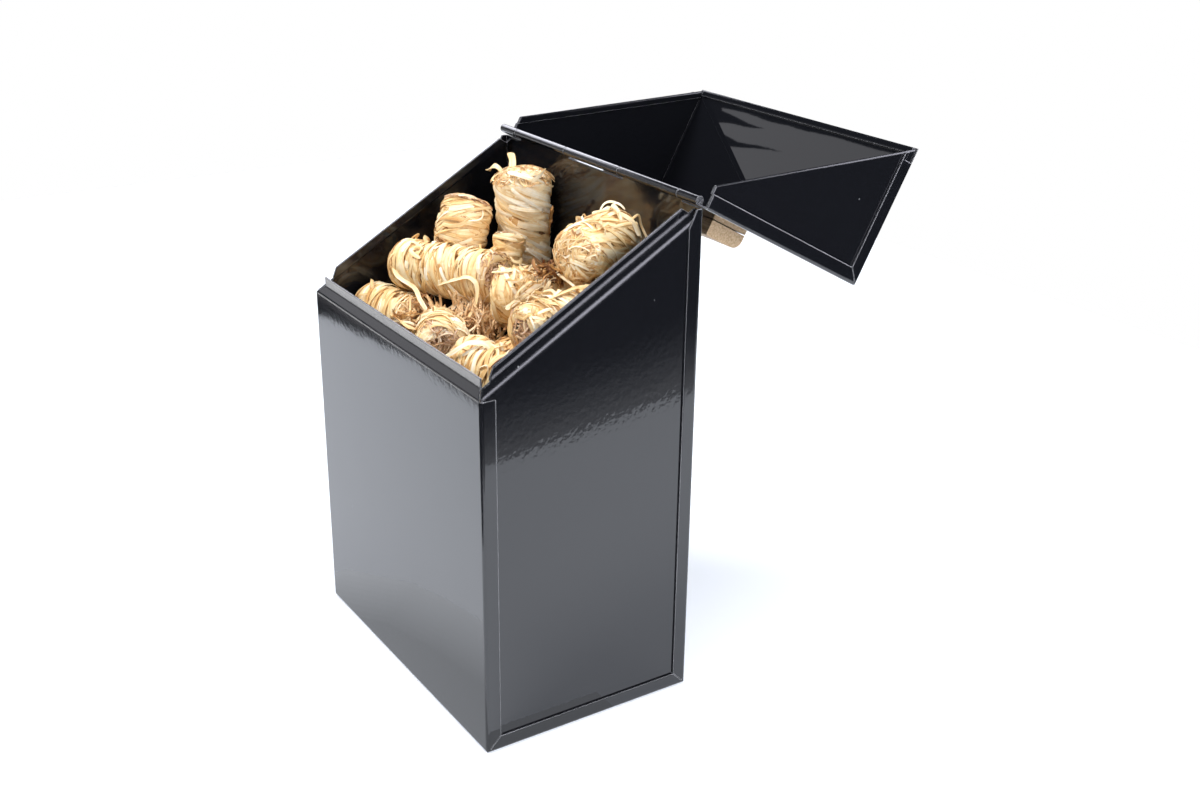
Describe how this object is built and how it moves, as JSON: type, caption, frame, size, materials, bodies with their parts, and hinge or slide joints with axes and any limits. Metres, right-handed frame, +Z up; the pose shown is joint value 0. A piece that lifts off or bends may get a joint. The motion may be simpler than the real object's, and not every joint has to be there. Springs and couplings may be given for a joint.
{
  "type": "kindling box",
  "caption": "Black enamelled sheet-steel kindling box with a sloping mouth, a hinged wedge lid with a wooden bar handle, filled with wood-wool firelighters",
  "frame": {"origin": "centre of the flat underside of the base", "axes": "+Z up, +X along the hinge to the box's right, +Y from the low front wall to the hinge"},
  "size_m": [0.2, 0.2778, 0.2951],
  "materials": {
    "black_enamel": "gloss",
    "bright_steel": "bright",
    "beech": "sanded, unvarnished",
    "wood_wool": "raw, matt"
  },
  "bodies": {
    "box": {"box_wrap": "black_enamel", "box_side_right": "black_enamel", "box_side_left": "black_enamel", "hinge_pin": "bright_steel", "firelighter_1": "wood_wool", "firelighter_2": "wood_wool", "firelighter_3": "wood_wool", "firelighter_4": "wood_wool", "firelighter_5": "wood_wool", "firelighter_6": "wood_wool", "firelighter_7": "wood_wool", "firelighter_8": "wood_wool", "firelighter_9": "wood_wool", "firelighter_10": "wood_wool", "firelighter_11": "wood_wool", "firelighter_12": "wood_wool", "firelighter_13": "wood_wool", "lower_firelighter_1": "wood_wool", "lower_firelighter_2": "wood_wool", "lower_firelighter_3": "wood_wool", "lower_firelighter_4": "wood_wool", "lower_firelighter_5": "wood_wool", "lower_firelighter_6": "wood_wool", "lower_firelighter_7": "wood_wool", "lower_firelighter_8": "wood_wool", "lower_firelighter_9": "wood_wool", "lower_firelighter_10": "wood_wool", "lower_firelighter_11": "wood_wool", "lower_firelighter_12": "wood_wool", "lower_firelighter_13": "wood_wool", "lower_firelighter_14": "wood_wool", "lower_firelighter_15": "wood_wool", "lower_firelighter_16": "wood_wool", "lower_firelighter_17": "wood_wool", "lower_firelighter_18": "wood_wool", "lower_firelighter_19": "wood_wool", "lower_firelighter_20": "wood_wool"},
    "lid": {"lid_wrap": "black_enamel", "lid_side_right": "black_enamel", "lid_side_left": "black_enamel", "handle_bar": "beech", "handle_screw_right": "bright_steel", "handle_screw_left": "bright_steel"}
  },
  "joints": [
    {"name": "lid_hinge", "type": "hinge", "parent": "box", "child": "lid", "pos_m": [0, 0.0626, 0.28546], "axis": [1, 0, 0], "range_deg": [0, 208.79]}
  ]
}
